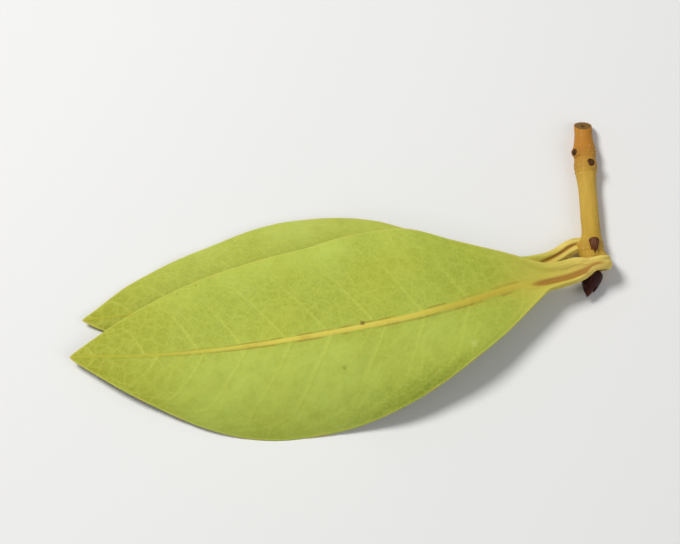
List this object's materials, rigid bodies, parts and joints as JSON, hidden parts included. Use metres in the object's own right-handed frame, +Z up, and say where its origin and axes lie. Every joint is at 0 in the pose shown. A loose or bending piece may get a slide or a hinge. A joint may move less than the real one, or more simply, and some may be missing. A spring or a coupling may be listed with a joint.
{
  "type": "bay leaf sprig",
  "caption": "Dried bay laurel sprig lying flat: a short woody twig with a pointed end bud and broad stalked leaves, one lapped over the other, with waved edges and raised veins.",
  "frame": {"origin": "small flat on the underside of the twig, below its swollen end where the leaves join, on the surface that the sprig lies on", "axes": "+Z up from the surface; the leaves reach out towards -X and the twig runs from its end bud towards +Y to its cut end"},
  "size_m": [0.0692, 0.0431, 0.0063],
  "materials": {
    "golden_bark": "matte",
    "bud_brown": "matte",
    "front_leaf_green": "satin",
    "under_leaf_green": "matte"
  },
  "bodies": {
    "root": {"twig": "golden_bark", "tip_bud": "bud_brown", "front_leaf": "front_leaf_green", "under_leaf": "under_leaf_green"}
  },
  "joints": []
}
